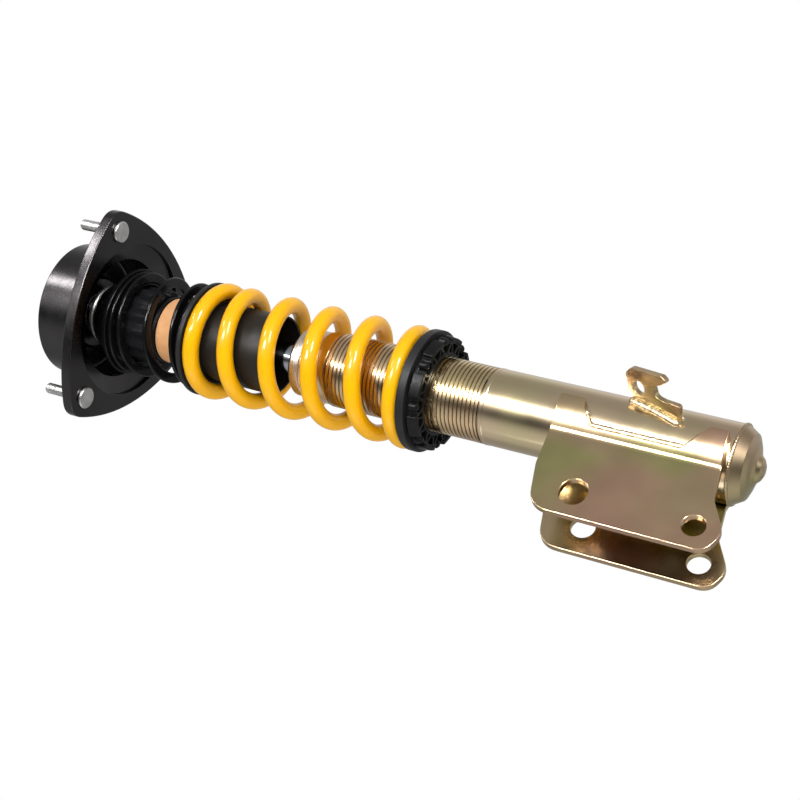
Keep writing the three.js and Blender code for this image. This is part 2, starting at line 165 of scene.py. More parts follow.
def finish_piece(name, mesh, body, look, replaces=(), merge=0.004, crease=38, weighted=True):
    """Clean the mesh, give it its look, and hand it to its body; crease is in degrees."""
    bm = bmesh.new()
    bm.from_mesh(mesh)
    bmesh.ops.remove_doubles(bm, verts=bm.verts, dist=merge * MM)
    bmesh.ops.dissolve_degenerate(bm, edges=bm.edges, dist=merge * MM * 0.2)
    bmesh.ops.recalc_face_normals(bm, faces=bm.faces)
    bm.to_mesh(mesh)
    bm.free()
    mesh.shade_smooth()
    mesh.set_sharp_from_angle(angle=math.radians(crease))
    material, slot = LOOKS[look]
    mesh.materials.append(material)
    obj = bpy.data.objects.new(name, mesh)
    bpy.context.scene.collection.objects.link(obj)
    if weighted:
        modifier = obj.modifiers.new("normals", "WEIGHTED_NORMAL")
        modifier.keep_sharp = True
        modifier.weight = 60
    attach(obj, body)
    if replaces:
        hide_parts(*replaces)
    return obj


def screw_thread(profile, pitch, low, high, facets, limit=None):
    """The skin of a right-handed thread: profile is [share of a pitch, radius], low end first."""
    columns = len(profile)
    turns = math.ceil((high - low) / pitch) + 2
    total = turns * facets
    verts = []
    for i in range(total + facets + 1):
        a = 2 * math.pi * i / facets
        base = low - pitch + pitch * i / facets
        for share, r in profile:
            z = min(max(base + share * pitch, low), high)
            if limit:
                r = min(r, limit(z))
            verts.append((r * math.cos(a), r * math.sin(a), z))
    faces = []
    for i in range(total):
        for k in range(columns):
            here, ahead = i * columns + k, (i + 1) * columns + k
            # the last point of a row joins the first one a turn further up
            above = here + 1 if k + 1 < columns else (i + facets) * columns
            above_ahead = ahead + 1 if k + 1 < columns else above + columns
            quad = (here, ahead, above_ahead, above)
            if max(verts[q][2] for q in quad) - min(verts[q][2] for q in quad) > 1e-6:
                faces.append(quad)
    return verts, faces

def coil(section, radius, start, heights, steps_per_turn, end_round):
    """A wound wire: section is [outward, along the axis] about the wire's centre."""
    total = heights[-1][0]
    fine = np.linspace(0, total, int(total / 3) + 1)
    raw = np.interp(fine, [h[0] for h in heights], [h[1] for h in heights])
    width = 11  # the slope eases over this many samples either side of a height
    padded = np.pad(raw, width, mode="edge")
    smooth = np.convolve(padded, np.ones(2 * width + 1) / (2 * width + 1), mode="valid")
    count = int(total / 360 * steps_per_turn)
    size = max(math.hypot(u, v) for u, v in section)
    rings = []

    def point(angle):
        azimuth = math.radians(start - angle)
        z = float(np.interp(angle, fine, smooth))
        return Vector((radius * math.cos(azimuth), radius * math.sin(azimuth), z))

    def ring(angle, scale=1.0, push=0.0):
        tangent = (point(min(angle + 1, total)) - point(max(angle - 1, 0))).normalized()
        here = point(angle)
        outward = Vector((here.x, here.y, 0)).normalized()
        across = tangent.cross(outward)
        here = here + tangent * push
        rings.append([tuple(here + outward * (u * scale) + across * (v * scale)) for u, v in section])

    def end_ring(angle, k, sign):
        a = math.pi / 2 * k / 4
        shrink = 1 - end_round / size * (1 - math.sin(a))
        ring(angle, shrink, sign * (end_round - end_round * math.cos(a)))

    for k in range(5):
        end_ring(0, k, 1)
    for i in range(1, count):
        ring(total * i / count)
    for k in range(4, -1, -1):
        end_ring(total, k, -1)
    return capped_run(rings)


def bead(path, radius, ripple=1.9, seed=0.0, closed=False):
    """A weld bead: a rippled round run along a path, tapered at its ends."""
    points = [Vector(p) for p in path]
    if closed:
        points.append(points[0])
    lengths = [0.0]
    for a, b in zip(points, points[1:]):
        lengths.append(lengths[-1] + (b - a).length)
    total = lengths[-1]
    count = max(8, int(total / 0.38))
    spots = []
    for i in range(count + 1):
        s = total * i / count
        spots.append(Vector([float(np.interp(s, lengths, [p[c] for p in points])) for c in range(3)]))
    rings = []
    for i in range(count if closed else count + 1):
        s = total * i / count
        before = spots[(i - 1) % count] if closed else spots[max(i - 1, 0)]
        after = spots[(i + 1) % count] if closed else spots[min(i + 1, count)]
        tangent = (after - before).normalized()
        outward = Vector((spots[i].x, spots[i].y, 0)).normalized()
        across = tangent.cross(outward).normalized()
        outward = across.cross(tangent)
        wobble = noise.noise(Vector((s * 0.35, seed, 0)))
        phase = (s / ripple + 0.25 * wobble) % 1
        size = radius * (0.9 + 0.14 * math.sqrt(math.sin(math.pi * phase)) + 0.10 * wobble)
        if not closed:
            size *= math.sqrt(min(1.0, 0.08 + min(s, total - s) / radius * 0.9))
        ring = []
        for k in range(BEAD_SIDES):
            a = 2 * math.pi * k / BEAD_SIDES
            lag = 0 if closed else 0.175 * radius * math.cos(a)
            rise = outward * (size * math.cos(a)) + across * (size * 1.12 * math.sin(a))
            ring.append(tuple(spots[i] + rise - tangent * lag))
        rings.append(ring)
    if closed:
        return [p for ring in rings for p in ring], grid_faces(len(rings), BEAD_SIDES)
    return capped_run(rings)


def flat_plate(outlines, thickness, bevel):
    """A plate with rounded edges from closed outlines, the first one outside, the rest holes."""
    curve = bpy.data.curves.new("outline", "CURVE")
    curve.dimensions = "2D"
    curve.fill_mode = "BOTH"
    curve.extrude = thickness / 2 - bevel
    curve.bevel_depth = bevel
    curve.bevel_resolution = 2
    curve.offset = -bevel
    for outline in outlines:
        spline = curve.splines.new("POLY")
        spline.points.add(len(outline) - 1)
        for point, (x, y) in zip(spline.points, outline):
            point.co = (x, y, 0, 1)
        spline.use_cyclic_u = True
    holder = bpy.data.objects.new("outline", curve)
    bpy.context.scene.collection.objects.link(holder)
    bpy.context.view_layer.update()
    evaluated = holder.evaluated_get(bpy.context.evaluated_depsgraph_get())
    mesh = bpy.data.meshes.new_from_object(evaluated)
    bpy.data.objects.remove(holder)
    bpy.data.curves.remove(curve)
    return mesh


def circle(cx, cy, radius, count=48, stretch=0.0):
    """A closed circle, or an oblong if stretch is its half length along x."""
    points = []
    for k in range(count):
        a = 2 * math.pi * (k + 0.5) / count
        shift = stretch if math.cos(a) > 0 else -stretch
        points.append((cx + shift + radius * math.cos(a), cy + radius * math.sin(a)))
    return points

# ---- material helpers ----


class Look:
    """One procedural material and short names for the nodes it is made of.

    The plain colour and roughness stand in wherever the nodes aren't read.
    """
    def __init__(self, name, color, metallic, roughness):
        self.material = bpy.data.materials.new(name)
        self.material.use_nodes = True
        self.nodes = self.material.node_tree.nodes
        self.links = self.material.node_tree.links
        self.shader = self.nodes["Principled BSDF"]
        self.shader.inputs["Base Color"].default_value = (*color, 1)
        self.shader.inputs["Metallic"].default_value = metallic
        self.shader.inputs["Roughness"].default_value = roughness
        self.coordinates = self.nodes.new("ShaderNodeTexCoord").outputs["Object"]
        self.bumps = None
    def set(self, **values):
        for name, value in values.items():
            self.shader.inputs[name.replace("_", " ")].default_value = value
        return self

    def scaled(self, x, y, z):
        node = self.nodes.new("ShaderNodeMapping")
        node.inputs["Scale"].default_value = (x, y, z)
        self.links.new(self.coordinates, node.inputs["Vector"])
        return node.outputs["Vector"]

    def noise(self, scale, detail=4.0, rough=0.55, vector=None, distortion=0.0):
        node = self.nodes.new("ShaderNodeTexNoise")
        node.inputs["Scale"].default_value = scale
        node.inputs["Detail"].default_value = detail
        node.inputs["Roughness"].default_value = rough
        node.inputs["Distortion"].default_value = distortion
        self.links.new(vector or self.coordinates, node.inputs["Vector"])
        return node.outputs["Fac"]

    def cells(self, scale):
        node = self.nodes.new("ShaderNodeTexVoronoi")
        node.inputs["Scale"].default_value = scale
        self.links.new(self.coordinates, node.inputs["Vector"])
        return node.outputs["Distance"]

    def edges(self, radius=0.0006, strength=0.8):
        """Up to strength on edges rounded more tightly than radius, 0 on flat ground.

        The measure is how far the rounded normal leans from the face's own: its cosine.
        """
        bevel = self.nodes.new("ShaderNodeBevel")
        bevel.samples = 4
        bevel.inputs["Radius"].default_value = radius
        geometry = self.nodes.new("ShaderNodeNewGeometry")
        facing = self.nodes.new("ShaderNodeVectorMath")
        facing.operation = "DOT_PRODUCT"
        self.links.new(bevel.outputs["Normal"], facing.inputs[0])
        self.links.new(geometry.outputs["Normal"], facing.inputs[1])
        return self.spread(facing.outputs["Value"], 0.995, 0.90, 0, strength)

    def spread(self, value, low, high, out_low, out_high):
        node = self.nodes.new("ShaderNodeMapRange")
        node.inputs["From Min"].default_value = low
        node.inputs["From Max"].default_value = high
        node.inputs["To Min"].default_value = out_low
        node.inputs["To Max"].default_value = out_high
        self.links.new(value, node.inputs["Value"])
        return node.outputs["Result"]
    def mix(self, share, a, b):
        node = self.nodes.new("ShaderNodeMix")
        node.data_type = "RGBA"
        self.links.new(share, node.inputs["Factor"])
        for name, value in (("A", a), ("B", b)):
            socket = [s for s in node.inputs if s.name == name and s.type == "RGBA"][0]
            if isinstance(value, tuple):
                socket.default_value = (*value, 1)
            else:
                self.links.new(value, socket)
        return [s for s in node.outputs if s.type == "RGBA"][0]
    def clouds(self, scale, detail, first, second, low=0.35, high=0.65):
        """Two colours in soft clouds."""
        return self.mix(self.spread(self.noise(scale, detail), low, high, 0, 1), first, second)

    def color(self, socket):
        self.links.new(socket, self.shader.inputs["Base Color"])

    def roughness(self, height, smooth, coarse):
        """Roughness that wanders between two values."""
        self.links.new(self.spread(height, 0.3, 0.7, smooth, coarse), self.shader.inputs["Roughness"])

    def bump(self, height, strength, distance):
        """One more layer of relief over those before it."""
        node = self.nodes.new("ShaderNodeBump")
        node.inputs["Strength"].default_value = strength
        node.inputs["Distance"].default_value = distance
        self.links.new(height, node.inputs["Height"])
        if self.bumps:
            self.links.new(self.bumps, node.inputs["Normal"])
        self.bumps = node.outputs["Normal"]
        self.links.new(self.bumps, self.shader.inputs["Normal"])


# ---- the looks ----


def zinc_look(name, tone=(0.475, 0.36, 0.215), mottle=1.0, rough=(0.18, 0.25), lines=0.0):
    """Yellow-passivated zinc plating: tan with soft green and pink clouds."""
    look = Look(name, tone, 1.0, 0.28)

    def tinted(red, green, blue):
        return tone[0] * red, tone[1] * green, tone[2] * blue

    green = look.spread(look.noise(16, 1, 0.4, distortion=0.3), 0.46, 0.62, 0, 0.9 * mottle)
    pink = look.spread(look.noise(13, 1, 0.4, look.scaled(1, 1.3, 0.8)), 0.47, 0.64, 0, 0.9 * mottle)
    veil = look.spread(look.noise(30, 1, 0.5), 0.3, 0.8, 0, 0.2)
    base = look.mix(green, tone, tinted(0.84, 1.05, 0.74))
    base = look.mix(pink, base, tinted(1.08, 0.88, 1.04))
    look.color(look.mix(veil, base, tinted(0.90, 0.88, 0.80)))
    look.roughness(look.noise(40, 2, 0.5), *rough)
    look.bump(look.noise(1100, 3, 0.6), 0.02, 0.0001)
    if lines:
        look.bump(look.noise(1, 3, 0.6, look.scaled(12, 12, 2600)), lines, 0.0002)
    return look.material


def weld_look():
    look = Look("zinc_weld", (0.62, 0.50, 0.34), 1.0, 0.34)
    look.color(look.clouds(420, 4, (0.32, 0.24, 0.14), (0.66, 0.56, 0.41)))
    look.roughness(look.noise(600, 4), 0.22, 0.45)
    look.bump(look.noise(800, 4), 0.35, 0.0004)
    return look.material


def anodised_look():
    look = Look("anodised_alloy", (0.060, 0.056, 0.056), 1.0, 0.30)
    base = look.clouds(30, 3, (0.046, 0.043, 0.044), (0.056, 0.053, 0.054))
    look.color(look.mix(look.edges(0.0007, 0.7), base, (0.12, 0.115, 0.11)))
    look.roughness(look.noise(160, 5), 0.22, 0.30)
    look.bump(look.noise(1500, 3), 0.05, 0.0001)
    look.bump(look.noise(1, 2, 0.5, look.scaled(10, 10, 2200)), 0.06, 0.0002)
    return look.material


def steel_look():
    look = Look("plated_steel", (0.50, 0.50, 0.49), 1.0, 0.36)
    look.color(look.clouds(180, 5, (0.44, 0.44, 0.43), (0.58, 0.58, 0.57)))
    look.roughness(look.noise(500, 5), 0.28, 0.46)
    look.bump(look.noise(1400, 4), 0.20, 0.0002)
    return look.material


def black_look():
    look = Look("black_coating", (0.004, 0.004, 0.0045), 0.0, 0.22)
    look.set(Coat_Weight=0.18, Coat_Roughness=0.03, Specular_IOR_Level=0.06)
    look.color(look.mix(look.edges(0.0005, 0.5), (0.004, 0.004, 0.0045), (0.012, 0.012, 0.013)))
    look.roughness(look.noise(200, 4), 0.18, 0.28)
    look.bump(look.noise(420, 2), 0.02, 0.0002)
    return look.material


def yellow_look():
    look = Look("yellow_powder_coat", (0.92, 0.50, 0.0), 0.0, 0.30)
    look.set(Coat_Weight=0.45, Coat_Roughness=0.02, Specular_IOR_Level=0.08)
    base = look.clouds(45, 3, (0.82, 0.41, 0.0), (0.78, 0.385, 0.0))
    look.color(look.mix(look.edges(0.0008, 0.4), base, (0.88, 0.48, 0.02)))
    look.roughness(look.noise(300, 4), 0.26, 0.36)
    look.bump(look.noise(420, 2), 0.02, 0.0002)
    return look.material


def cup_look():
    look = Look("gloss_composite", (0.010, 0.010, 0.011), 0.0, 0.25)
    look.set(Specular_IOR_Level=0.08)
    look.color(look.mix(look.edges(0.0006, 0.6), (0.010, 0.010, 0.011), (0.045, 0.045, 0.048)))
    look.roughness(look.noise(260, 4), 0.18, 0.34)
    look.bump(look.noise(900, 3), 0.04, 0.0002)
    return look.material


def composite_look():
    look = Look("black_composite", (0.018, 0.018, 0.019), 0.0, 0.45)
    look.set(Specular_IOR_Level=0.10)
    look.color(look.mix(look.edges(0.0005, 0.7), (0.006, 0.006, 0.0063), (0.030, 0.030, 0.032)))
    look.roughness(look.noise(500, 5), 0.30, 0.46)
    look.bump(look.noise(1500, 3), 0.16, 0.0002)
    return look.material


def ring_look():
    look = Look("seat_ring_grey", (0.036, 0.036, 0.038), 0.0, 0.42)
    look.set(Specular_IOR_Level=0.15)
    look.color(look.clouds(70, 4, (0.014, 0.014, 0.015), (0.019, 0.019, 0.020), 0.3, 0.7))
    look.roughness(look.noise(400, 4), 0.36, 0.48)
    look.bump(look.noise(1300, 3), 0.08, 0.0002)
    return look.material


def foam_look():
    look = Look("bump_foam", (0.72, 0.36, 0.15), 0.0, 0.85)
    look.color(look.clouds(90, 5, (0.60, 0.29, 0.11), (0.74, 0.38, 0.16), 0.3, 0.7))
    look.roughness(look.noise(300, 4), 0.75, 0.95)
    look.bump(look.cells(1500), 0.25, 0.0003)
    look.bump(look.noise(200, 4), 0.15, 0.0006)
    return look.material


def dust_look():
    look = Look("dust_tube_plastic", (0.050, 0.044, 0.039), 0.0, 0.60)
    look.set(Specular_IOR_Level=0.22)
    look.color(look.clouds(55, 4, (0.011, 0.009, 0.007), (0.016, 0.0135, 0.011), 0.3, 0.7))
    look.roughness(look.noise(350, 4), 0.36, 0.50)
    look.bump(look.noise(1, 3, 0.5, look.scaled(500, 500, 30)), 0.10, 0.0003)
    return look.material


def chrome_look():
    look = Look("hard_chrome", (0.72, 0.73, 0.75), 1.0, 0.08)
    look.color(look.clouds(80, 3, (0.30, 0.31, 0.34), (0.38, 0.39, 0.42), 0.3, 0.7))
    look.roughness(look.noise(1, 4, 0.6, look.scaled(60, 60, 900)), 0.05, 0.14)
    look.bump(look.noise(1, 3, 0.6, look.scaled(30, 30, 3500)), 0.05, 0.0001)
    return look.material


def nickel_look():
    look = Look("nickel_gland", (0.66, 0.60, 0.54), 1.0, 0.26)
    look.color(look.clouds(90, 3, (0.58, 0.52, 0.46), (0.74, 0.68, 0.62), 0.3, 0.7))
    look.roughness(look.noise(1, 4, 0.6, look.scaled(40, 40, 1500)), 0.18, 0.34)
    look.bump(look.noise(1, 3, 0.6, look.scaled(15, 15, 3000)), 0.12, 0.0002)
    return look.material


def rubber_look():
    look = Look("seal_rubber", (0.012, 0.012, 0.012), 0.0, 0.55)
    look.color(look.clouds(120, 4, (0.009, 0.009, 0.009), (0.018, 0.018, 0.018), 0.3, 0.7))
    look.roughness(look.noise(500, 4), 0.45, 0.65)
    look.bump(look.noise(900, 3), 0.12, 0.0002)
    return look.material


TUBE_LOOK = zinc_look("zinc_tube", (0.60, 0.475, 0.32), 0.40, (0.14, 0.22), 0.08)
# each look with the frame's slot that it fills
LOOKS = {
    "zinc_plate": (zinc_look("zinc_plate"), "zinc"),
    "zinc_tube": (TUBE_LOOK, "zinc"),
    "zinc_cap": (zinc_look("zinc_cap", (0.42, 0.33, 0.20), 0.8, (0.24, 0.34)), "zinc"),
    "weld": (weld_look(), "zinc"),
    "anodised": (anodised_look(), "anodised"),
    "steel": (steel_look(), "steel"),
    "black": (black_look(), "black_gloss"),
    "yellow": (yellow_look(), "yellow_gloss"),
    "cup": (cup_look(), "composite"),
    "composite": (composite_look(), "composite"),
    "ring": (ring_look(), "ring_grey"),
    "foam": (foam_look(), "foam"),
    "dust": (dust_look(), "dust"),
    "chrome": (chrome_look(), "chrome"),
    "nickel": (nickel_look(), "nickel"),
    "rubber": (rubber_look(), "rubber"),
}

# Below, a profile is a closed list of [radius, height] with, where it matters, the corner's own rounding.

# ---- top mount ----
STUD_PITCH_R = 71.0
STUD_AZIMUTHS = (22.6, 142.6, 262.6)
FLANGE = 8.0  # its thickness, below the seating face
CORNER_R = 15.0  # the flange's edge round each stud
SIDE_R = 144.7  # its flatter edge between two studs
SIDE_CENTRE = 78.7  # and how far beyond the axis that arc's centre lies
HUB_R = 49.4
HUB_TOP = 39.2
BEARING_R = 19.3
SIXTH = math.radians(60)
# seen from a stud, how far round the corner's arc goes before the side's arc takes over
CORNER_REACH = math.atan2(SIDE_CENTRE * math.sin(SIXTH), STUD_PITCH_R + SIDE_CENTRE * math.cos(SIXTH))
STEPS_PER_STUD = 180


def flange_radius(azimuth):
    """Distance from the axis to the flange's edge, in the direction azimuth, in degrees."""
    offset = math.radians((azimuth - STUD_AZIMUTHS[0] + 60) % 120 - 60)
    under = CORNER_R ** 2 - (STUD_PITCH_R * math.sin(offset)) ** 2
    if under > 0:
        corner = STUD_PITCH_R * math.cos(offset) + math.sqrt(under)
        seen = math.atan2(corner * math.sin(abs(offset)), corner * math.cos(offset) - STUD_PITCH_R)
        if seen <= CORNER_REACH:
            return corner
    side = SIXTH - abs(offset)
    return math.sqrt(SIDE_R ** 2 - (SIDE_CENTRE * math.sin(side)) ** 2) - SIDE_CENTRE * math.cos(side)


def top_mount():
    rings, azimuths = [], []
    for stud_azimuth in STUD_AZIMUTHS:
        for k in range(STEPS_PER_STUD):
            # finer steps near the stud, where the edge turns
            share = 2 * k / STEPS_PER_STUD - 1
            azimuth = stud_azimuth + 60 * math.copysign(abs(share) ** 1.25, share)
            edge = flange_radius(azimuth)
            rings.append(filleted([
                (edge, -FLANGE, 0.9), (edge, 0, 0.9), (HUB_R + 0.5, 0, 0.4), (HUB_R, 0.6, 0.3),
                (HUB_R, HUB_TOP, 1.1), (45.0, HUB_TOP, 0.6), (44.0, 38.2, 0.6), (27, 38.2, 1.2),
                (24.5, HUB_TOP, 0.6), (BEARING_R, HUB_TOP, 0.5), (BEARING_R, 38.7, 0), (20.5, 38.7, 0),
                (20.5, 37, 0), (BEARING_R, 37, 0.3), (BEARING_R, 23.2, 0.2), (16.4, 23.2, 0.4),
                (16.4, 21.5, 0.4), (26, 21.5, 1.0), (26.6, 27, 2.0), (44.4, 27, 2.5), (44.4, -0.2, 0.7),
                (57, -3.5, 0.4), (57, -FLANGE, 0.6),
            ], 0.4))
            azimuths.append(math.radians(azimuth))
    return swept_round(rings, azimuths)


piece("top_mount_body", top_mount(), "mount", "anodised", ["top_mount"])

# ---- studs ----
STUD_END = 25.6
STUD_PROFILE = [(0, -10.4, 0), (7.3, -10.4, 0.5), (8, -9.7, 0.3), (8, -8.3, 0.2), (4.6, -8.3, 0),
                (4.6, -0.2, 0.2), (3.7, 0.4, 0), (3.7, 25.2, 0), (3.0, 26.2, 0.2), (0, 26.2, 0)]
# a thread is [share of the pitch, radius], low end first
STUD_THREAD = [(0, 3.98), (0.14, 3.98), (0.46, 3.35), (0.60, 3.35), (0.92, 3.98)]


def stud():
    skin = screw_thread(STUD_THREAD, 1.25, 2.0, STUD_END, 28, lambda z: 3.2 + max(0.0, STUD_END - z))
    return merged(turned(STUD_PROFILE, 0.2, 40), skin)


for i, stud_azimuth in enumerate(STUD_AZIMUTHS, 1):
    a = math.radians(stud_azimuth)
    placed = moved(stud(), STUD_PITCH_R * math.cos(a), STUD_PITCH_R * math.sin(a))
    piece(f"flange_stud_{i}", placed, "mount", "steel", [f"stud_{i}"])

# ---- spherical bearing ----
BALL_Z = 30.0
BALL_R = 14.5
RACE_BORE_R = 14.75


def ball_arc(radius, start, end, count):
    """Profile points on the ball's sphere, from one height about its centre to another."""
    return [(math.sqrt(radius ** 2 - h ** 2), BALL_Z + h, 0) for h in np.linspace(start, end, count)]


race = [(19, 23.5, 0.4), (19, 36.5, 0.4)] + ball_arc(RACE_BORE_R, 6.5, -6.5, 15)
piece("bearing_outer", turned(race, 0.3, 96), "mount", "steel", ["bearing_race"])
ball = [(7.3, 21, 0.3), (10.5, 21, 0.3)] + ball_arc(BALL_R, -9, 9, 19) + [(10.5, 39, 0.3), (7.3, 39, 0.3)]
piece("bearing_inner", turned(ball, 0.3, 96), "rod", "chrome", ["bearing_ball"])
CIRCLIP_STEPS = 96
CIRCLIP_GAP = 56  # degrees left open


def circlip():
    """A snap ring: open at one place, with an eye at each end."""
    rings, azimuths = [], []
    for k in range(CIRCLIP_STEPS + 1):
        near_end = min(k, CIRCLIP_STEPS - k) / CIRCLIP_STEPS < 0.03
        inner = 17.2 - (1.4 if near_end else 0)
        rings.append(filleted([(inner, 37.3), (20.2, 37.3), (20.2, 38.4), (inner, 38.4)], 0.15, 2))
        azimuths.append(math.radians(CIRCLIP_GAP / 2 + (360 - CIRCLIP_GAP) * k / CIRCLIP_STEPS))
    return capped_run(stood_up(rings, azimuths))


piece("snap_ring", circlip(), "mount", "steel", ["bearing_circlip"])

# ---- rod and what it carries ----
ROD_R = 11.0
ROD_BORE_R = 11.3  # the bore of what fits round it
ROD_END = 55.4
ROD_PROFILE = [(0, -262, 0), (6.2, -262, 0.4), (6.9, -261, 0.2), (6.9, -228.4, 0), (ROD_R, -228.4, 0.5),
               (ROD_R, 13.1, 0.3), (10.2, 13.9, 0.2), (6.7, 13.9, 0), (6.7, 36, 0), (6.2, 37, 0),
               (6.2, 55, 0), (5.4, 56, 0.3), (0, 56, 0)]
ROD_THREAD = [(0, 6.98), (0.16, 6.98), (0.46, 6.25), (0.60, 6.25), (0.90, 6.98)]
rod_skin = screw_thread(ROD_THREAD, 1.5, 36.5, ROD_END, 40, lambda z: 5.8 + max(0.0, ROD_END - z))
piece("damper_rod", merged(turned(ROD_PROFILE, 0.3, 96), rod_skin), "rod", "chrome", ["piston_rod"])
COLLAR_PROFILE = [(7.3, 14.2), (19, 14.2), (19, 16.6, 0.6), (10, 18), (10, 20.7), (7.3, 20.7)]
piece("rod_collar", turned(COLLAR_PROFILE, 0.4, 96), "rod", "steel", ["rod_spacer"])


def hexagon_nut(flats, bore_radius, low, high):
    """A hexagon nut with chamfered corners; flats is the distance from the axis to a flat."""
    rings, azimuths = [], []
    face_r = flats * 0.96
    for k in range(144):
        a = 360 * k / 144
        reach = flats / math.cos(math.radians((a + 30) % 60 - 30))
        drop = (reach - face_r) * 0.58
        rings.append(filleted([
            (bore_radius + 0.5, low), (face_r, low), (reach, low + drop), (reach, high - drop),
            (face_r, high), (bore_radius + 0.5, high), (bore_radius, high - 0.5), (bore_radius, low + 0.5),
        ], 0))
        azimuths.append(math.radians(a + 30))
    return swept_round(rings, azimuths)


piece("rod_top_nut", hexagon_nut(11.0, 7.25, 39.4, 51.4), "rod", "steel", ["rod_nut"], crease=24)
piece("piston_end_nut", hexagon_nut(9.95, 7.25, -254.3, -244.3), "rod", "steel", ["piston_nut"], crease=24)
PISTON_PROFILE = [(7.3, -244), (23.1, -244), (23.1, -238.5, 0.2), (22.7, -238.2, 0.1),
                  (22.7, -234.5, 0.1), (23.1, -234.2, 0.2), (23.1, -228.7), (7.3, -228.7)]
piece("damper_piston", turned(PISTON_PROFILE, 0.5, 96), "rod", "steel", ["piston"])
FLUTES = 14
STEPS_PER_FLUTE = 20


def fluted_cup():
    rings, azimuths = [], []
    count = FLUTES * STEPS_PER_FLUTE
    for k in range(count):
        a = 2 * math.pi * k / count
        r = 26.6 + 1.1 * math.cos(FLUTES * a)
        rings.append(filleted([
            (ROD_BORE_R, -12, 0.5), (r - 2.2, -12, 0.2), (r, -14.2, 1.2), (r, -41.6, 0.8),
            (r - 0.8, -43, 0.5), (22.5, -43, 0.5), (22.5, -18, 1.5), (19, -15, 1.0),
            (ROD_BORE_R, -15, 0.4),
        ], 0.5))
        azimuths.append(a)
    return swept_round(rings, azimuths)


piece("cup_fluted", fluted_cup(), "rod", "cup", ["bump_cup"])
WASHER_PROFILE = [(ROD_BORE_R, -43.3), (16, -43.3, 1.5), (24.4, -44.6, 0.7), (24.4, -47.6, 0.6),
                  (ROD_BORE_R, -47.6)]
piece("stop_washer", turned(WASHER_PROFILE), "rod", "composite", ["bump_washer"])
FOAM_PROFILE = [(ROD_BORE_R, -48, 0.5), (23.8, -48, 1.2), (23.8, -64.2, 2.0), (20, -67.4, 2.2),
                (20, -73.6, 2.2), (22.6, -77, 2.4), (18, -84, 1.6), (ROD_BORE_R, -84, 0.8)]
piece("stop_foam", turned(FOAM_PROFILE, 0.5, 96, 5), "rod", "foam", ["bump_stop"])
DUST_PROFILE = [(20.4, -70, 0.3), (28.5, -70, 1.4), (28.5, -140, 0.35), (27.1, -140, 0.35),
                (27.1, -72, 0.8), (20.4, -72, 0.3)]
piece("dust_sleeve", turned(DUST_PROFILE), "rod", "dust", ["dust_tube"])

# ---- upper seat ----
THRUST_PROFILE = [(12, 8.3), (22, 8.3), (22, 10.4), (21, 10.4, 0.1), (21, 11.8, 0.1), (22, 11.8),
                  (22, 13.8), (12, 13.8)]
piece("seat_bearing", turned(THRUST_PROFILE, 0.35, 96), "seat", "steel", ["thrust_bearing"])
HAT_PROFILE = [(11.6, 3, 0.3), (19, 3, 2), (28.8, -8, 2), (28.8, -22, 0.3), (30.2, -22, 0.6),
               (30.2, -14.9, 0.8), (39.7, -14.9, 0.8), (39.7, -12.2, 0.9), (37, -10.5, 2.0), (24, 8, 1.4),
               (11.6, 8, 0.4)]
piece("spring_hat", turned(HAT_PROFILE), "seat", "black", ["upper_seat"])

# ---- springs: heights of the wire's centre by degrees wound from the top end ----
HELPER_HEIGHTS = [(0, -16.6), (360, -19.9), (472, -25.4), (832, -49.3), (1192, -72.2), (1255, -75.6),
                  (1302, -77.4), (1572, -77.4)]
SPRING_HEIGHTS = [(0, -88.9), (215, -88.9), (275, -92.2), (1900, -246.6), (1958, -250.5), (2173, -250.5)]
flat_wire = filleted([(-3.85, -1.55), (3.85, -1.55), (3.85, 1.55), (-3.85, 1.55)], 1.5, 5)
helper_coil = coil(flat_wire, 34.6, 52, HELPER_HEIGHTS, 90, 0.7)
helper = piece("helper_coil", helper_coil, "seat", "black", ["helper_spring"], weighted=False)
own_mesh(helper)
round_wire = [(5.9 * math.cos(2 * math.pi * k / 28), 5.9 * math.sin(2 * math.pi * k / 28)) for k in range(28)]
main_coil = coil(round_wire, 36.6, 135, SPRING_HEIGHTS, 96, 1.4)
main = piece("main_coil", main_coil, "coupler", "yellow", ["main_spring"], weighted=False)
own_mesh(main)
COUPLER_PROFILE = [(29.3, -92, 0.3), (30.3, -92, 0.3), (30.3, -82.6, 0.6), (41.5, -82.6, 0.7),
                   (41.5, -79.3, 0.7), (30.3, -79.3, 0.6), (30.3, -68, 0.3), (29.3, -68, 0.3)]
piece("spring_coupler", turned(COUPLER_PROFILE), "coupler", "ring", ["coupler_ring"])

# ---- strut tube ----
TUBE_R = 26.0
TUBE_BORE_R = 23.5
THREAD_LOW, THREAD_HIGH = -308.6, -190.5
TUBE_PROFILE = [(TUBE_BORE_R, -478, 0.3), (TUBE_R, -478, 0.4), (TUBE_R, -312.7, 0.1), (26.2, -312.4, 0.1),
                (26.2, -310.1, 0.3), (25.1, -309.5, 0.3), (25.1, THREAD_LOW, 0), (24.7, -308.4, 0),
                (24.7, -190.8, 0), (25.2, -190.4, 0.1), (25.2, -181.9, 0.3), (24.6, -181.3, 0.2),
                (TUBE_BORE_R, -181.3, 0)]
TUBE_THREAD = [(0, 25.98), (0.56, 25.98), (0.67, 24.8), (0.87, 24.8), (0.98, 25.98)]
tube_skin = screw_thread(TUBE_THREAD, 3.0, THREAD_LOW, THREAD_HIGH, 144,
                         lambda z: 25.1 + max(0.0, THREAD_HIGH - z))
tube = merged(turned(TUBE_PROFILE, 0.4, 144), tube_skin)
piece("damper_tube", tube, "strut", "zinc_tube", ["strut_tube"], merge=0.002)
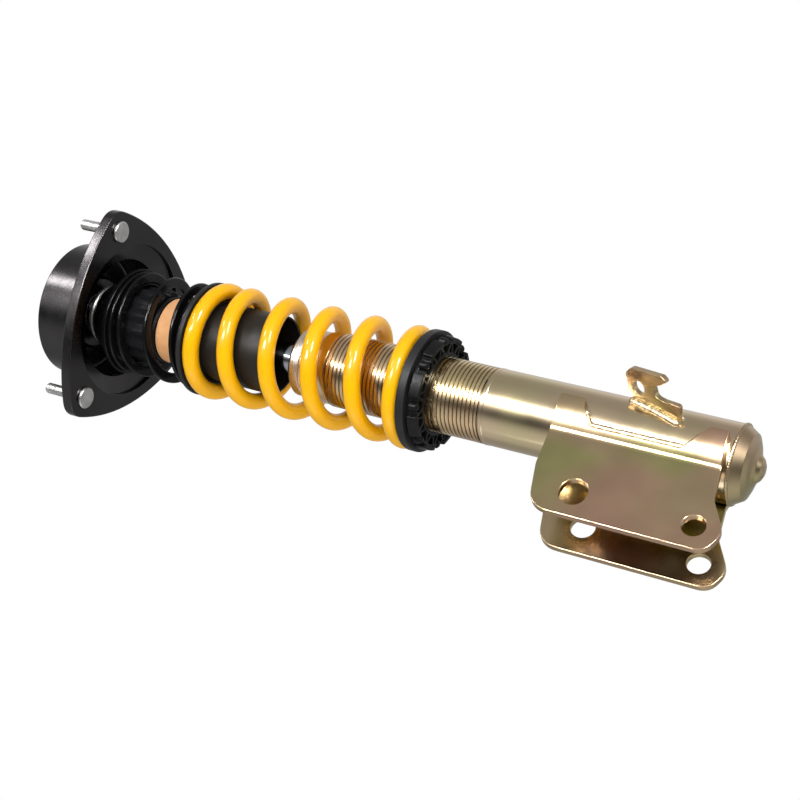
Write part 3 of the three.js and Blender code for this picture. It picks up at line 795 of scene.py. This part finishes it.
GLAND_PROFILE = [(ROD_BORE_R, -196, 0.4), (23.2, -196, 0.4), (23.2, -181, 0), (24.2, -181, 0.3),
                 (24.2, -178.3, 0.2), (23.6, -177.9, 0.1), (23.6, -177.0, 0.1), (24.2, -176.6, 0.2),
                 (24.2, -172.2, 0.2), (23.2, -171.4, 0.1), (23.2, -170.2, 0.1), (24.2, -169.4, 0.2),
                 (24.2, -163.3, 0.3), (23.4, -162.5, 0.3), (18.3, -162.5, 0.4), (18.3, -169, 0.4),
                 (ROD_BORE_R, -169, 0.4)]
piece("gland_cap", turned(GLAND_PROFILE, 0.4, 128), "strut", "nickel", ["gland_nut"])
WIPER_PROFILE = [(11.1, -168.7), (18, -168.7), (18, -162.2), (21.4, -162.2, 0.3), (21.4, -160.4, 0.8),
                 (15.2, -160.2, 0.5), (13.5, -159.4, 0.6), (11.1, -160.4, 0.3)]
piece("wiper", turned(WIPER_PROFILE, 0.4, 96), "strut", "rubber", ["wiper_seal"])
GUIDE_PROFILE = [(11.1, -214), (23.2, -214, 1.0), (23.2, -206, 0.2), (22.6, -205.6, 0.1),
                 (22.6, -203, 0.1), (23.2, -202.6, 0.2), (23.2, -196.3, 1.0), (11.1, -196.3)]
piece("guide_bush", turned(GUIDE_PROFILE, 0.5, 96), "strut", "steel", ["rod_guide"])
CAP_PROFILE = [(0, -494.75, 0), (4, -494.5, 2), (7, -493, 2), (9.2, -490.7, 2), (12.5, -489.2, 2),
               (17, -487.8, 3), (21.5, -485.8, 0.8), (25.5, -479.4, 0.8), (25.7, -478.3, 0.3),
               (23.2, -478.3, 0.2), (23.2, -470, 0.4), (20, -470, 0.4), (20, -480, 1), (0, -484, 0)]
SEAM_R = 25.6
seam_angles = [2 * math.pi * k / 120 for k in range(120)]
seam = [(SEAM_R * math.cos(a), SEAM_R * math.sin(a), -478.3) for a in seam_angles]
cap = merged(turned(CAP_PROFILE, 0.4, 128, 5), bead(seam, 1.15, 1.7, 3.1, closed=True))
piece("end_cap", cap, "strut", "zinc_cap", ["bottom_cap"])

# ---- spring perch ----
SEAT_PROFILE = [(26.6, -263, 0.3), (42.2, -263, 0.5), (42.2, -256.8, 0.8), (30.2, -256.8, 0.5),
                (30.2, -251.4, 0.6), (26.6, -251.4, 0.4)]
piece("perch_seat", turned(SEAT_PROFILE, 0.4, 144), "perch_ring", "ring", ["spring_seat"])
NUT_LUG_AZIMUTH = 12.0
NUT_LUGS = 8
COLLAR_R = 28.8  # where the ribs leave the nut's collar
LUG_IN_R = 35.4  # and where they run into a lug
NUT_PROFILE = [(26.4, -271, 0.4), (29.0, -271, 0.6), (29.6, -266.4, 0.3), (37.2, -266.1, 0.3),
               (37.5, -265.6, 0.2), (37.5, -263.3, 0.2), (26.4, -263.3, 0.3)]
BOSS_PROFILE = [(0, -271.7, 0), (1.6, -271.5, 1.0), (2.9, -270.2, 1.0), (3.1, -266.0, 0), (0, -266.0, 0)]


def sector_block(azimuth, half_angle, inner, outer_high, outer_low, high, low, bevel=0.5):
    """A block round the axis: its outer face leans from outer_high to outer_low."""
    rings, azimuths = [], []
    shares = [-1, -0.97, -0.9] + [x / 8 for x in range(-6, 7)] + [0.9, 0.97, 1]
    for share in shares:
        pinch = {1: 0.75, 0.97: 0.3}.get(abs(share), 0.0) * bevel
        rings.append(filleted([
            (inner, low + pinch, 0), (outer_low - pinch, low + pinch, bevel),
            (outer_high - pinch, high, 0.2), (inner, high, 0),
        ], bevel))
        azimuths.append(math.radians(azimuth + half_angle * share))
    return capped_run(stood_up(rings, azimuths))


def rib(azimuth_in, azimuth_out, high=-265.8, low_in=-271.4, low_out=-271.2, half=0.75):
    """A thin wall from the collar out to a lug, with a rounded lower edge."""
    a, b = math.radians(azimuth_in), math.radians(azimuth_out)
    start = Vector((COLLAR_R * math.cos(a), COLLAR_R * math.sin(a)))
    end = Vector((LUG_IN_R * math.cos(b), LUG_IN_R * math.sin(b)))
    side = Vector((-(end - start).y, (end - start).x)).normalized()
    rings = []
    for p, low in ((start, low_in), (end, low_out)):
        edge, foot = low + 0.4, half * 0.55
        section = [(-half, high), (-half, edge), (-foot, low), (foot, low), (half, edge), (half, high)]
        rings.append([(*(p + side * s), z) for s, z in section])
    return capped_run(rings)


def perch_nut():
    parts = [turned(NUT_PROFILE)]
    for k in range(NUT_LUGS):
        lug = NUT_LUG_AZIMUTH + 360 / NUT_LUGS * k
        parts.append(sector_block(lug, 12.5, 36.2, 39.8, 38.9, -264.9, -272.0, 0.6))
        parts.append(sector_block(lug, 17.0, 34.9, 36.9, 36.4, -266.0, -271.2, 0.4))
        for side in (-1, 1):
            parts.append(rib(lug + side * 4, lug + side * 9))
            parts.append(rib(lug + side * 17, lug + side * 12))
        between = math.radians(lug + 180 / NUT_LUGS)
        parts.append(moved(turned(BOSS_PROFILE, 0.4, 28), 36.3 * math.cos(between), 36.3 * math.sin(between)))
    return merged(*parts)


piece("perch_lock_nut", perch_nut(), "perch", "composite", ["perch_nut"])

# ---- knuckle bracket ----
PLATE = 4.5
WRAP_MID = 28.55  # radius of the plate's middle where it hugs the tube
FLANGE_MID = 19.75  # and its distance from the strut's plane where it runs out flat
BEND_R = 9.0
WRAP_TOP = math.radians(3)
BEND_Y = -math.sqrt((WRAP_MID + BEND_R) ** 2 - (FLANGE_MID + BEND_R) ** 2)
WRAP_END = math.atan2(BEND_Y, FLANGE_MID + BEND_R)
WRAP_LENGTH = WRAP_MID * (WRAP_TOP - WRAP_END)
BEND_LENGTH = BEND_R * -WRAP_END
LOWER_HOLE = (66.1, -474.1, 7.4)  # distance from the axis, height, radius
UPPER_SLOT = (64.2, -396.4, 8.8)
UPPER_HOLE = (62.3, -396.4, 8.0)
# the plate's edge as [y, height, corner], all round
BRACKET_EDGE = [(1.4, -362.5, 1.5), (-22, -362.8, 3), (-50, -365, 20), (-82, -373.5, 16.5),
                (-82, -486.2, 15), (-66, -492.3, 13.5), (-44, -478.8, 16), (-20, -475.6, 8),
                (1.4, -473.8, 1.5), (1.4, -462, 1.0), (-8, -454.6, 4), (-15.5, -450, 5), (-15.5, -387, 6),
                (-3, -380, 4), (1.4, -379.6, 1.0)]


def along_plate(y):
    """Length along the plate's middle, from its upper edge, at which it passes y."""
    wrap_end_y = WRAP_MID * math.sin(WRAP_END)
    if y >= wrap_end_y:
        capped = max(-1.0, min(y, WRAP_MID * math.sin(WRAP_TOP)) / WRAP_MID)
        return WRAP_MID * (WRAP_TOP - math.asin(capped))
    if y > BEND_Y:
        share = (wrap_end_y - y) / (wrap_end_y - BEND_Y)
        return WRAP_LENGTH + BEND_LENGTH * share
    return WRAP_LENGTH + BEND_LENGTH + (BEND_Y - y)


def bent(s, offset):
    """Where a point of the flat pattern lies once the plate is bent."""
    if s <= WRAP_LENGTH:
        a = WRAP_TOP - s / WRAP_MID
        r = WRAP_MID + offset
        return r * math.cos(a), r * math.sin(a)
    if s <= WRAP_LENGTH + BEND_LENGTH:
        a = math.pi + WRAP_END + (s - WRAP_LENGTH) / BEND_R
        r = BEND_R - offset
        return FLANGE_MID + BEND_R + r * math.cos(a), BEND_Y + r * math.sin(a)
    return FLANGE_MID + offset, BEND_Y - (s - WRAP_LENGTH - BEND_LENGTH)

def bracket_plate(name, side, node):
    flat = [(along_plate(y), z) for y, z in filleted(BRACKET_EDGE, 1, 8)]
    far = WRAP_LENGTH + BEND_LENGTH + BEND_Y
    out_y, z, r = LOWER_HOLE
    lower = circle(far + out_y, z, r, 56)
    out_y, z, r = UPPER_SLOT if side > 0 else UPPER_HOLE
    upper = circle(far + out_y, z, r, 56, 0.8 if side > 0 else 0.0)
    mesh = flat_plate([flat, lower, upper], PLATE, 0.55)
    bm = bmesh.new()
    bm.from_mesh(mesh)
    # cut it across in narrow strips, so that it can follow the bends
    s = 0.9
    while s < WRAP_LENGTH + BEND_LENGTH + 0.5:
        geometry = bm.verts[:] + bm.edges[:] + bm.faces[:]
        bmesh.ops.bisect_plane(bm, geom=geometry, dist=1e-4, plane_co=(s, 0, 0), plane_no=(1, 0, 0))
        s += 0.9 if s < WRAP_LENGTH else 0.4
    for vert in bm.verts:
        x, y = bent(vert.co.x, vert.co.z)
        vert.co = Vector((side * x, y, vert.co.y)) * MM
    bm.to_mesh(mesh)
    bm.free()
    return finish_piece(name, mesh, "strut", "zinc_plate", [node], crease=32)


def wrap_point(y, z, side, radius):
    """A point at radius from the axis, where a plate's edge at y meets the tube."""
    y = max(-radius, min(y, radius))
    return (side * math.sqrt(radius ** 2 - y ** 2), y, z)


WINDOW = [(1.0, -463.2), (-8.3, -456.2), (-14.6, -450.6), (-15.0, -449), (-15.0, -388), (-14.4, -386.2),
          (-3.2, -379.2), (1.0, -378.8)]
WELD_Y = 1.6  # the two short welds beside the window
WELD_R = 26.9
WINDOW_WELD_R = 27.3


def window_run():
    """The window's edge in steps of about a millimetre."""
    run = []
    for (y0, z0), (y1, z1) in zip(WINDOW, WINDOW[1:]):
        steps = max(2, int(math.hypot(y1 - y0, z1 - z0)))
        run += [(y0 + (y1 - y0) * k / steps, z0 + (z1 - z0) * k / steps) for k in range(steps)]
    return run


def bracket_welds(side):
    inset = [wrap_point(y + 1.1, z, side, WINDOW_WELD_R) for y, z in window_run()[6:-5]]
    upper = [wrap_point(WELD_Y, z, side, WELD_R) for z in np.linspace(-364, -378, 15)]
    lower = [wrap_point(WELD_Y, z, side, WELD_R) for z in np.linspace(-463.5, -472.5, 11)]
    short = [bead(upper, 1.7, 2.0, 5.0 + side), bead(lower, 1.7, 2.0, 7.0 + side)]
    return merged(bead(inset, 2.1, 3.4, 1.0 + side), *short)


for side, hand in ((1, "left"), (-1, "right")):
    bracket_plate(f"knuckle_plate_{hand}", side, f"bracket_{hand}")
    piece(f"knuckle_weld_{hand}", bracket_welds(side), "strut", "weld", crease=60, weighted=False)

# ---- brake hose tab ----
TAB = 4.0
TAB_ORIGIN = Vector((23.65, 7.68, -422.5))
TAB_AZIMUTH = math.radians(18)
along = Vector((0.107, -0.331, -0.938)).normalized()
out = Vector((math.cos(TAB_AZIMUTH), math.sin(TAB_AZIMUTH), 0))
face = along.cross(out).normalized()
out = face.cross(along)
# [along the strut, out from it, corner]
TAB_EDGE = [(-19.5, -1.5, 0), (-19.8, 2, 2), (-25.6, 18, 4), (-21.2, 23.6, 4), (4.2, 27.8, 3),
            (8.4, 25.2, 2.4), (3.4, 20.6, 2.4), (-2.6, 18.4, 3), (0, 10.8, 4), (6.5, 10.6, 3),
            (19.2, 12.4, 2.4), (18.6, 5, 4), (19.8, -1.5, 0)]
tab_mesh = flat_plate([filleted(TAB_EDGE, 2, 7), circle(-14.1, 11.7, 4.7, 40)], TAB, 0.45)
tab_frame = Matrix((along, out, face)).transposed().to_4x4()
tab_frame.translation = TAB_ORIGIN - face * (TAB / 2)
tab_mesh.transform(tab_frame)
tab_mesh.transform(Matrix.Scale(MM, 4))
finish_piece("hose_bracket", tab_mesh, "strut", "zinc_plate", ["hose_tab"], crease=32)
FOOT_R = 26.1


def tab_foot(offset, reach):
    """Points where a face of the tab meets the tube."""
    points = []
    for u in np.linspace(-reach, reach, 40):
        p = TAB_ORIGIN + along * u + face * offset
        # slide outwards until the point is on the tube
        low, high = -12.0, 12.0
        for _ in range(30):
            middle = (low + high) / 2
            q = p + out * middle
            if math.hypot(q.x, q.y) < FOOT_R:
                low = middle
            else:
                high = middle
        points.append(tuple(p + out * high))
    return points


near_weld = bead(tab_foot(1.0, 20.5), 2.3, 2.2, 11.0)
far_weld = bead(tab_foot(-TAB - 0.8, 20.0), 2.1, 2.2, 12.0)
piece("hose_bracket_weld", merged(near_weld, far_weld), "strut", "weld", crease=60, weighted=False)

# ---- stage ----
FLOOR_Z = -1.35
FLOOR_REACH = 30.0
floor_corners = [(x * FLOOR_REACH, y * FLOOR_REACH, FLOOR_Z) for x, y in ((-1, -1), (1, -1), (1, 1), (-1, 1))]
floor_mesh = bpy.data.meshes.new("floor")
floor_mesh.from_pydata(floor_corners, [], [(0, 1, 2, 3)])
floor_look = Look("pale_floor", (0.86, 0.86, 0.86), 0.0, 0.9)
floor_look.set(Emission_Color=(1, 1, 1, 1), Emission_Strength=0.46)
floor_mesh.materials.append(floor_look.material)
floor = bpy.data.objects.new("floor", floor_mesh)
bpy.context.scene.collection.objects.link(floor)
floor.visible_glossy = False

# ---- world and lights ----
# How bright the studio is round the picture's width, by degrees from the camera's side over its top:
# a bright band just above the camera, a dark gap below it, and soft greys all the way round.
STUDIO = [(-180, 0.55), (-150, 0.40), (-125, 0.40), (-110, 0.65), (-80, 0.75), (-60, 0.70), (-40, 0.40),
          (-25, 0.13), (-8, 0.12), (6, 0.35), (16, 1.50), (32, 1.60), (44, 0.85), (60, 0.55), (90, 0.43),
          (115, 0.45), (145, 0.85), (180, 0.55)]


def studio_world():
    """White to the camera, the studio's greys to every other ray."""
    world = bpy.data.worlds.new("studio")
    bpy.context.scene.world = world
    world.use_nodes = True
    nodes, links = world.node_tree.nodes, world.node_tree.links
    nodes.clear()
    direction = nodes.new("ShaderNodeTexCoord").outputs["Generated"]

    def along_axis(axis):
        node = nodes.new("ShaderNodeVectorMath")
        node.operation = "DOT_PRODUCT"
        node.inputs[1].default_value = axis
        links.new(direction, node.inputs[0])
        return node.outputs["Value"]

    angle = nodes.new("ShaderNodeMath")
    angle.operation = "ARCTAN2"
    links.new(along_axis(UP), angle.inputs[0])
    links.new(along_axis(BACK), angle.inputs[1])
    share = nodes.new("ShaderNodeMapRange")
    share.inputs["From Min"].default_value = -math.pi
    share.inputs["From Max"].default_value = math.pi
    links.new(angle.outputs[0], share.inputs["Value"])
    ramp = nodes.new("ShaderNodeValToRGB")
    elements = ramp.color_ramp.elements
    while len(elements) > 1:
        elements.remove(elements[0])
    for k, (degrees, value) in enumerate(STUDIO):
        place = (degrees + 180) / 360
        element = elements[0] if k == 0 else elements.new(place)
        element.position = place
        element.color = (value, value, value, 1)
    links.new(share.outputs["Result"], ramp.inputs["Fac"])
    soft = nodes.new("ShaderNodeBackground")
    links.new(ramp.outputs["Color"], soft.inputs["Color"])
    soft.inputs["Strength"].default_value = 1.0
    white = nodes.new("ShaderNodeBackground")
    white.inputs["Color"].default_value = (1, 1, 1, 1)
    chosen = nodes.new("ShaderNodeMixShader")
    links.new(nodes.new("ShaderNodeLightPath").outputs["Is Camera Ray"], chosen.inputs["Fac"])
    links.new(soft.outputs["Background"], chosen.inputs[1])
    links.new(white.outputs["Background"], chosen.inputs[2])
    output = nodes.new("ShaderNodeOutputWorld")
    links.new(chosen.outputs["Shader"], output.inputs["Surface"])

studio_world()
TARGET = Vector((0, 0, -0.22))


def softbox(name, degrees, sideways, distance, long_side, short_side, power, seen_in="both"):
    """An area light aimed at the strut, with its power in watts.

    It stands degrees over the camera's side and sideways along the picture's width, in metres.
    """
    a = math.radians(degrees)
    place = TARGET + (UP * math.sin(a) + BACK * math.cos(a)) * distance + RIGHT * sideways
    light = bpy.data.lights.new(name, "AREA")
    light.shape = "RECTANGLE"
    light.size = long_side
    light.size_y = short_side
    light.energy = power
    obj = bpy.data.objects.new(name, light)
    obj.visible_diffuse = seen_in != "gloss"
    obj.visible_glossy = seen_in != "shade"
    back = (place - TARGET).normalized()
    across = (RIGHT - back * RIGHT.dot(back)).normalized()
    up = back.cross(across)
    rotation = Matrix((across, up, back)).transposed().to_4x4()
    obj.matrix_world = Matrix.Translation(place) @ rotation
    bpy.context.scene.collection.objects.link(obj)


softbox("strip", 31, -1.45, 1.5, 1.00, 0.16, 14, "gloss")
softbox("upper", 70, -1.65, 1.5, 0.35, 0.30, 16, "gloss")
softbox("left", 27, -0.92, 1.5, 0.30, 0.50, 34, "gloss")
softbox("right", 32, 0.42, 1.5, 0.32, 0.50, 34, "gloss")
softbox("fill", 30, -0.40, 1.5, 0.80, 0.50, 18, "shade")
softbox("low", -75, -0.3, 1.6, 1.4, 0.7, 4)
# ---- camera ----
camera_data = bpy.data.cameras.new("camera")
camera_data.lens = LENS
camera_data.sensor_width = SENSOR
camera_data.sensor_fit = "HORIZONTAL"
camera_data.clip_start = 0.01
camera_data.clip_end = 200
camera = bpy.data.objects.new("camera", camera_data)
camera.matrix_world = Matrix.Translation(CAMERA_AT) @ Matrix((RIGHT, UP, BACK)).transposed().to_4x4()
bpy.context.scene.collection.objects.link(camera)
bpy.context.scene.camera = camera
bpy.context.scene.view_settings.view_transform = "Standard"
